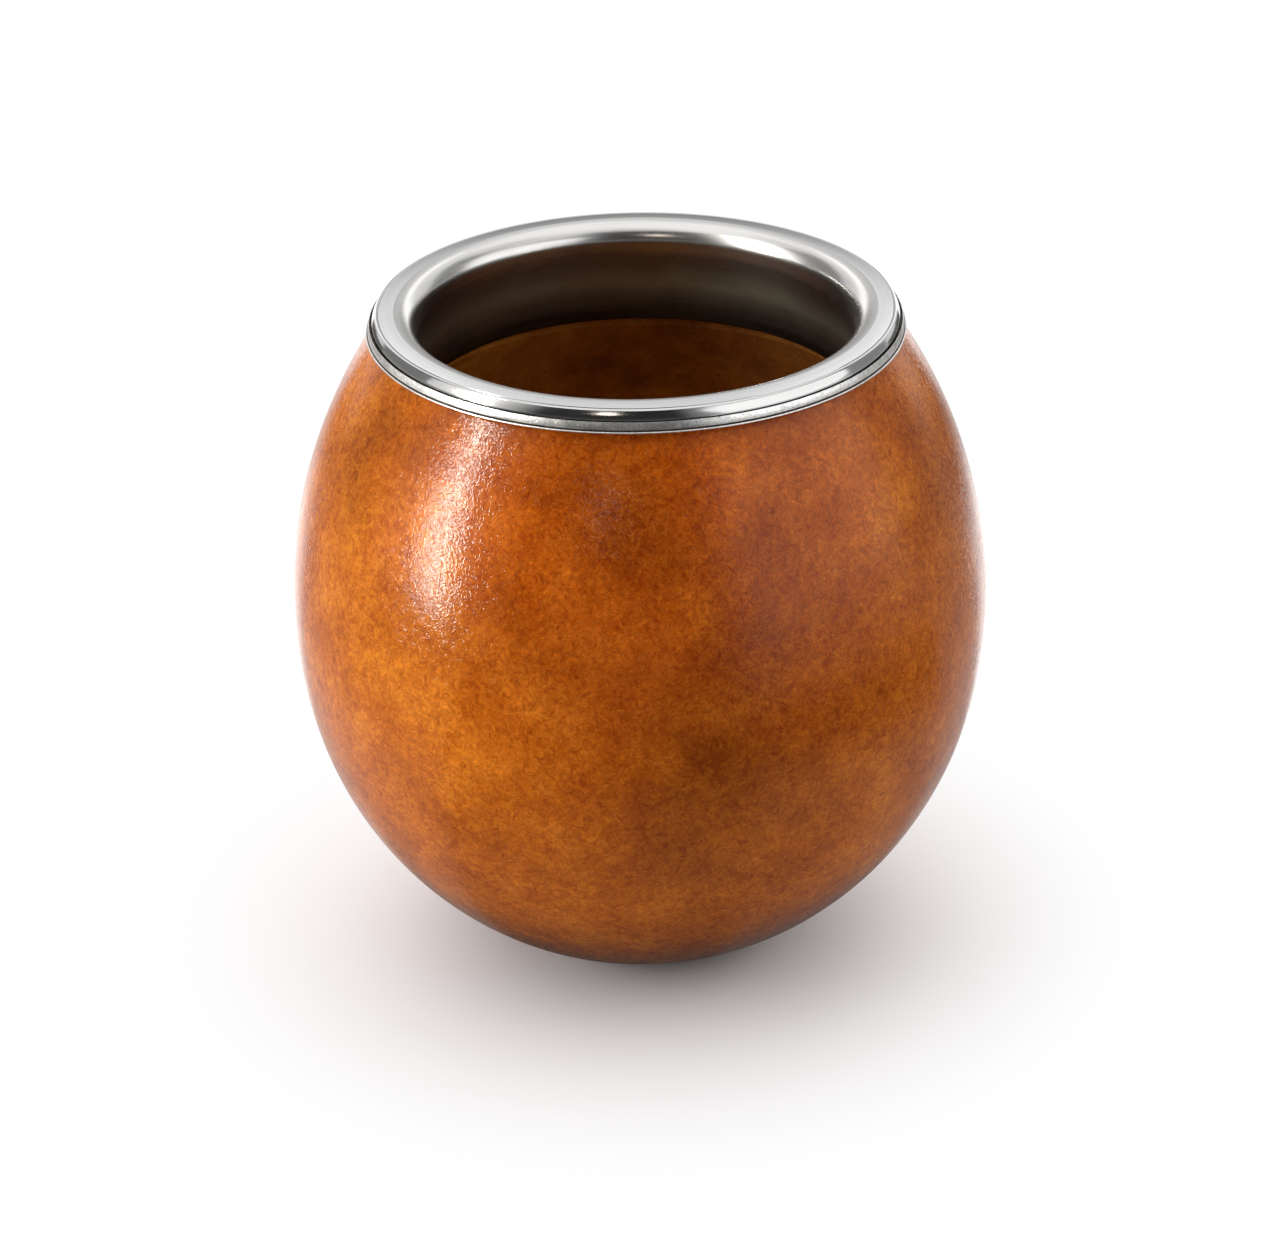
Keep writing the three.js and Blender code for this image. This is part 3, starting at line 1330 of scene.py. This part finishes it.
    def band_outline(self) -> list[Stretch]:
        """Section of the band: inside the skirt, round the bead, up the wall, into the slot, over the ledge.

        Returns:
            Its stretches.
        """
        bore, lip, corner, top = self.gourd.bore, self.gourd.lip, self.band_corner, self.ledge_top
        outer, skirt_inner = self.skirt_outer, self.skirt_outer - self.sheet
        bead = (self.band_radius - self.bead, self.band_bottom + self.bead)
        roll = arc(bead, self.bead, self.bead, -90.0, self.bead_end, self.steps)
        groove = (outer - self.bead_groove, bead[1] + self.bead + self.bead_groove / 2)
        wall_foot = (outer, groove[1] + self.bead_groove / 2)
        wall_head = (outer - self.band_lean, top - corner)
        wall_middle = (outer, (wall_foot[1] + wall_head[1]) / 2)
        wall = bend(wall_foot, wall_middle, wall_head, self.wall_steps)
        edge = bend(wall_head, (wall_head[0], top), (wall_head[0] - corner, top), self.corner_steps)
        slot_outer = wall_head[0] - self.slot_wall
        slot_inner, slot_floor = slot_outer - self.slot_width, top - self.slot_depth
        slot = [(slot_outer, top), (slot_outer, slot_floor), (slot_inner, slot_floor), (slot_inner, top)]
        skirt = [(bore, lip), (skirt_inner, lip), (skirt_inner, self.band_bottom)]
        # The groove above the bead and the slot take a dark finish as painted shade.
        return [
            Stretch([*skirt, *roll], BandFace.STEEL),
            Stretch([roll[-1], groove], BandFace.SHADED_SLOT),
            Stretch([*wall, *edge], BandFace.STEEL),
            Stretch(slot, BandFace.SHADED_SLOT),
            Stretch([slot[-1], (bore, top)], BandFace.STEEL),
        ]

    def build(self, lathe: Lathe) -> list[bpy.types.Object]:
        """Turns both rings and stands them for their solids.

        Args:
            lathe: What turns them.

        Returns:
            The collar and the band.
        """
        satin = SatinSteel("satin_steel", radius=self.flange_radius)
        shaded_sleeve = ShadedSleeveSteel("shaded_sleeve_steel", bright_height=self.flange_top, dark_rough_height=self.sleeve_bottom)
        finishes = (satin, PolishedSteel("polished_steel"), shaded_sleeve)
        collar = lathe.turn("collar_sheet", self.collar_outline(), finishes)
        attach(collar, BODY)
        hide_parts("mouth_collar")
        # The band's slot and groove are darkened with painted shade.
        finishes = (PittedSteel("pitted_steel"), ResinAndSlotShade("slot_painted_shade"))
        band = lathe.turn("band_ring", self.band_outline(), finishes)
        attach(band, BODY)
        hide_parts("outer_band")
        return [collar, band]


@dataclass
class ResinBed:
    """The resin that sets the sleeve in the bore and spreads over the ledge under the flange."""

    gourd: GourdBody
    rim: SteelRim
    shrink: float = 0.1
    steps: int = 12

    def outline(self) -> list[Stretch]:
        """Section of the resin, a hairline clear of what surrounds it.

        Returns:
            Its one stretch.
        """
        low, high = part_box("collar_bed")
        bottom, top, outer = low.z / MM, high.z / MM - self.rim.crown, high.x / MM
        ledge, centre = self.rim.ledge_top, self.rim.bend_centre
        round_ = self.rim.bend_radius - self.rim.sheet - self.shrink
        down, up = self.gourd.bore - self.shrink, self.rim.sleeve_outer + self.shrink
        bow = arc(centre, round_, top - centre[1], 90.0, 180.0, self.steps)
        return [Stretch([(down, bottom), (down, ledge), (outer, ledge), (outer, top), *bow, (up, bottom)])]

    def build(self, lathe: Lathe) -> bpy.types.Object:
        """Turns the resin and stands it for its solid.

        Args:
            lathe: What turns it.

        Returns:
            The piece.
        """
        piece = lathe.turn("resin_bed", self.outline(), [ResinAndSlotShade("cured_resin")])
        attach(piece, BODY)
        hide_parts("collar_bed")
        return piece


# The studio


@dataclass(frozen=True)
class Camera:
    """The photograph's view: from the front and above, turned by a degree."""

    place: Spot = (-0.875, -446.53, 267.1)
    pitch: float = 26.744
    roll: float = 1.007
    focal_pixels: float = 3910.5
    sensor: float = 36.0
    near: float = 10.0
    far: float = 20000.0

    def build(self) -> bpy.types.Object:
        """Makes the camera and gives it to the scene.

        Returns:
            The camera.
        """
        data = bpy.data.cameras.new("camera")
        data.sensor_width = self.sensor
        data.lens = self.focal_pixels * self.sensor / PHOTO_WIDTH
        data.clip_start, data.clip_end = self.near * MM, self.far * MM
        made = put("camera", data)
        tilt = Matrix.Rotation(math.radians(90.0 - self.pitch), 4, "X")
        lean = Matrix.Rotation(math.radians(-self.roll), 4, "Z")
        made.matrix_world = Matrix.Translation(Vector(self.place) * MM) @ tilt @ lean
        bpy.context.scene.camera = made
        return made


class Use(Enum):
    """What a softbox is for: to light surfaces, or to show in their gloss."""

    FILL = "fill"
    GLEAM = "gleam"


@dataclass(frozen=True)
class Softbox:
    """An evenly lit panel that faces the cup. Its radiance is what a mirror would show of it."""

    name: str
    use: Use
    azimuth: float
    elevation: float
    distance: float
    width: float
    height: float
    radiance: float
    roll: float = 0.0
    colour: Colour = WHITE

    def build(self, target: Vector) -> bpy.types.Object:
        """Hangs the panel so that it faces a point.

        Args:
            target: Point that it faces, in millimetres.

        Returns:
            The lamp.
        """
        lamp = bpy.data.lights.new(self.name, "AREA")
        lamp.shape = "RECTANGLE"
        lamp.size, lamp.size_y = self.width * MM, self.height * MM
        lamp.energy = self.radiance * LAMP_POWER * lamp.size * lamp.size_y
        lamp.color = self.colour
        made = put(self.name, lamp)
        heading = direction(self.azimuth, self.elevation)
        made.location = (target + heading * self.distance) * MM
        spin = Matrix.Rotation(math.radians(self.roll), 3, "Z")
        made.rotation_euler = (heading.to_track_quat("Z", "Y").to_matrix() @ spin).to_euler()
        made.visible_camera = False
        made.visible_diffuse = self.use is Use.FILL
        made.visible_glossy = self.use is Use.GLEAM
        return made


@dataclass(frozen=True)
class Card:
    """A graded card round part of the cup that only reflections show, so that it casts no light or shadow.

    Its floor runs outwards: pairs of a radius and what a mirror shows there. Its wall stands at the floor's
    end: pairs of a height and what a mirror shows there. By its end azimuth only end_share of that is left.
    """

    name: str
    start: float
    end: float
    floor: tuple[Point, ...]
    wall: tuple[Point, ...] = ()
    end_share: float = 1.0
    lift: float = 0.4
    steps: int = 24

    def build(self) -> bpy.types.Object:
        """Makes the card with its radiance stored at its points.

        Returns:
            The card.
        """
        edges = [(radius, self.lift, shown) for radius, shown in self.floor]
        edges += [(self.floor[-1][0], height, shown) for height, shown in self.wall]
        shares = [step / self.steps for step in range(self.steps + 1)]
        places = [direction(self.start + (self.end - self.start) * share) for share in shares]
        levels = [1.0 + (self.end_share - 1.0) * share for share in shares]
        rise = Vector((0.0, 0.0, 1.0))
        points = [(place * radius + rise * height) * MM for place in places for radius, height, _ in edges]
        row = len(edges)
        firsts = [row * step + k for step in range(self.steps) for k in range(row - 1)]
        mesh = bpy.data.meshes.new(self.name)
        mesh.from_pydata(points, [], [(i, i + 1, i + row + 1, i + row) for i in firsts])
        glow = mesh.attributes.new("radiance", "FLOAT", "POINT")
        glow.data.foreach_set("value", [level * shown for level in levels for _, _, shown in edges])
        mesh.materials.append(self.paint())
        made = put(self.name, mesh)
        made.visible_camera = made.visible_diffuse = made.visible_shadow = False
        return made

    @staticmethod
    def paint() -> bpy.types.Material:
        """Paint that shows the stored radiance, made once.

        Returns:
            The material.
        """
        found = bpy.data.materials.get("card_paint")
        if found is not None:
            return found
        made = bpy.data.materials.new("card_paint")
        made.cycles.emission_sampling = "NONE"
        graph = Graph.blank(made)
        stored = graph.node("ShaderNodeAttribute", {}, attribute_name="radiance").outputs["Fac"]
        glow = graph.node("ShaderNodeEmission", {"Color": WHITE, "Strength": stored}).outputs[0]
        graph.node("ShaderNodeOutputMaterial", {"Surface": glow})
        return made


KEY_COLOUR = (1.0, 0.97, 0.88)
LAMP_COLOUR = (1.0, 0.88, 0.76)
EDGE_FLOOR = ((12.0, 0.05), (60.0, 0.8), (230.0, 0.8), (330.0, 1.6), (870.0, 1.6))
EDGE_WALL = ((900.0, 1.8),)
TURN_WALL = ((20.0, 0.9), (900.0, 1.1))
RIGHT_FLOOR = (
    (12.0, 0.03), (32.0, 0.20), (80.0, 0.52), (120.0, 0.08),
    (180.0, 0.13), (270.0, 0.72), (880.0, 0.72), (900.0, 0.62),
)
BACK_WALL = (
    (60.0, 0.60), (160.0, 0.38), (250.0, 0.42), (329.0, 0.50), (411.0, 0.72), (576.0, 0.90), (1394.0, 1.05)
)


@dataclass(frozen=True)
class Studio:
    """A white sweep under soft light, with cards that give the lacquer and the steel something to reflect."""

    target: Spot = (0.0, 0.0, 45.0)
    floor_half: float = 6000.0
    floor_colour: Colour = (0.85, 0.82, 0.82)
    sweep_start: float = 13.5
    sweep_end: float = 68.0
    ambient: float = 0.25
    softboxes: tuple[Softbox, ...] = (
        Softbox("left_fill", Use.FILL, -84.0, 10.0, 760.0, 620.0, 420.0, 5.6),
        Softbox("left_high_fill", Use.FILL, -70.0, 52.0, 700.0, 500.0, 500.0, 0.8),
        Softbox("left_back_fill", Use.FILL, -125.0, 25.0, 760.0, 600.0, 600.0, 1.0),
        Softbox("overhead_fill", Use.FILL, 180.0, 82.0, 620.0, 620.0, 620.0, 0.5),
        Softbox("right_fill", Use.FILL, 92.0, 24.0, 760.0, 500.0, 420.0, 2.1),
        Softbox("right_back_fill", Use.FILL, 125.0, 25.0, 760.0, 600.0, 600.0, 1.0),
        Softbox("back_fill", Use.FILL, 180.0, 35.0, 800.0, 800.0, 500.0, 1.5),
        Softbox("key_strip", Use.GLEAM, -69.5, 23.0, 560.0, 46.0, 530.0, 47.0, 7.0, KEY_COLOUR),
        Softbox("key_core", Use.GLEAM, -74.0, 10.0, 560.0, 42.0, 210.0, 22.0, 8.0, KEY_COLOUR),
        Softbox("overhead", Use.GLEAM, 180.0, 82.0, 600.0, 620.0, 620.0, 0.27),
        Softbox("right_panel", Use.GLEAM, 64.0, 15.0, 760.0, 980.0, 640.0, 0.75),
        Softbox("camera_lamp", Use.GLEAM, -13.0, 30.0, 800.0, 90.0, 110.0, 3.5, colour=LAMP_COLOUR),
    )
    cards: tuple[Card, ...] = (
        Card(
            "front_card", -57.0, 29.0,
            ((12.0, 0.03), (32.0, 0.13), (52.0, 0.33), (80.0, 0.26), (115.0, 0.04), (900.0, 0.10)),
            ((150.0, 0.035), (1250.0, 0.02)),
        ),
        Card("front_left_card", -62.0, -41.0, ((880.0, 1.0),), ((1250.0, 1.0),), end_share=0.04),
        Card("front_right_card", 34.0, 17.0, ((880.0, 0.55),), ((1250.0, 0.55),), end_share=0.05),
        Card("right_card", 29.0, 98.0, RIGHT_FLOOR, ((900.0, 0.62),)),
        Card(
            "right_dark_card", 98.0, 128.0,
            ((12.0, 0.03), (40.0, 0.45), (90.0, 0.65), (250.0, 0.42), (900.0, 0.34)),
            ((900.0, 0.34),),
        ),
        Card(
            "right_turn_card", 129.0, 152.0,
            ((12.0, 0.05), (60.0, 1.6), (170.0, 1.7), (230.0, 0.5), (330.0, 0.15), (870.0, 0.15)),
            TURN_WALL,
        ),
        Card("right_edge_card", 152.0, 165.0, EDGE_FLOOR, EDGE_WALL),
        Card(
            "left_turn_card", -152.0, -132.0,
            ((12.0, 0.05), (60.0, 1.3), (170.0, 1.6), (230.0, 0.8), (330.0, 0.15), (870.0, 0.15)),
            TURN_WALL,
        ),
        Card("left_edge_card", -165.0, -152.0, EDGE_FLOOR, EDGE_WALL),
        Card(
            "left_dark_card", -132.0, -96.0,
            ((12.0, 0.03), (40.0, 0.60), (90.0, 0.75), (250.0, 0.40), (900.0, 0.26)),
            ((900.0, 0.26),),
        ),
        Card(
            "left_card", -96.0, -57.0,
            ((12.0, 0.03), (40.0, 0.39), (85.0, 0.78), (160.0, 0.32), (900.0, 0.34)),
        ),
        Card(
            "back_card", 165.0, 195.0,
            ((40.0, 0.50), (60.0, 0.8), (230.0, 0.8), (330.0, 1.1), (880.0, 1.1)),
            BACK_WALL,
            end_share=0.95,
        ),
    )

    @staticmethod
    def seen(graph: Graph) -> Socket:
        """1 for rays from the camera, a mirror or glass, which see the background, and 0 for the rest.

        Args:
            graph: The graph of a material or of the world.

        Returns:
            The mask.
        """
        path = graph.node("ShaderNodeLightPath", {}).outputs
        mirrored = graph.math(Step.MAXIMUM, path["Is Glossy Ray"], path["Is Transmission Ray"])
        return graph.math(Step.MAXIMUM, path["Is Camera Ray"], mirrored)

    def floor_material(self) -> bpy.types.Material:
        """Pale floor that keeps shadows near the cup, turns white further out and is clear from below.

        Returns:
            The material.
        """
        made = bpy.data.materials.new("pale_floor")
        graph = Graph.blank(made)
        inputs = {"Base Color": self.floor_colour, "Roughness": 1.0, "Specular IOR Level": 0.0}
        paper = graph.node("ShaderNodeBsdfPrincipled", inputs).outputs[0]
        white = graph.node("ShaderNodeEmission", {"Color": WHITE, "Strength": 1.0}).outputs[0]
        away = graph.vector(Step.LENGTH, graph.place())
        fade = graph.spread(away, self.sweep_start * MM, self.sweep_end * MM)
        share = graph.times(fade, self.seen(graph))
        sweep = graph.node("ShaderNodeMixShader", {0: share, 1: paper, 2: white}).outputs[0]
        clear = graph.node("ShaderNodeBsdfTransparent", {}).outputs[0]
        under = graph.node("ShaderNodeNewGeometry", {}).outputs["Backfacing"]
        surface = graph.node("ShaderNodeMixShader", {0: under, 1: sweep, 2: clear}).outputs[0]
        graph.node("ShaderNodeOutputMaterial", {"Surface": surface})
        return made

    def build_floor(self) -> bpy.types.Object:
        """Lays the floor under the cup.

        Returns:
            The floor.
        """
        half = self.floor_half * MM
        corners = [(-half, -half, 0), (half, -half, 0), (half, half, 0), (-half, half, 0)]
        mesh = bpy.data.meshes.new("floor")
        mesh.from_pydata(corners, [], [(0, 1, 2, 3)])
        mesh.materials.append(self.floor_material())
        made = put("floor", mesh)
        return made

    def build_world(self) -> None:
        """White where it is seen or mirrored, and a dim even light for everything else."""
        world = bpy.data.worlds.new("studio")
        graph = Graph.blank(world)
        dim = graph.node("ShaderNodeBackground", {"Color": WHITE, "Strength": self.ambient}).outputs[0]
        white = graph.node("ShaderNodeBackground", {"Color": WHITE, "Strength": 1.0}).outputs[0]
        mixed = graph.node("ShaderNodeMixShader", {0: self.seen(graph), 1: dim, 2: white}).outputs[0]
        graph.node("ShaderNodeOutputWorld", {"Surface": mixed})
        bpy.context.scene.world = world

    def build(self) -> None:
        """Lays the floor, lights the world and hangs the softboxes and cards."""
        self.build_floor()
        self.build_world()
        for softbox in self.softboxes:
            softbox.build(Vector(self.target))
        for card in self.cards:
            card.build()
        bpy.context.scene.view_settings.view_transform = "Standard"


def main() -> None:
    """Builds the camera, the studio and the cup's pieces in order."""
    logging.basicConfig(level=logging.INFO, format="%(name)s: %(message)s")
    Camera().build()
    Studio().build()
    lathe = Lathe()
    gourd = GourdBody()
    rim = SteelRim(gourd)
    bed = ResinBed(gourd, rim)
    pieces = [gourd.build(lathe), *rim.build(lathe), bed.build(lathe)]
    for piece in pieces:
        log.info("%s: %d faces, %d finishes", piece.name, len(piece.data.polygons), len(piece.data.materials))


if __name__ == "__main__":
    main()
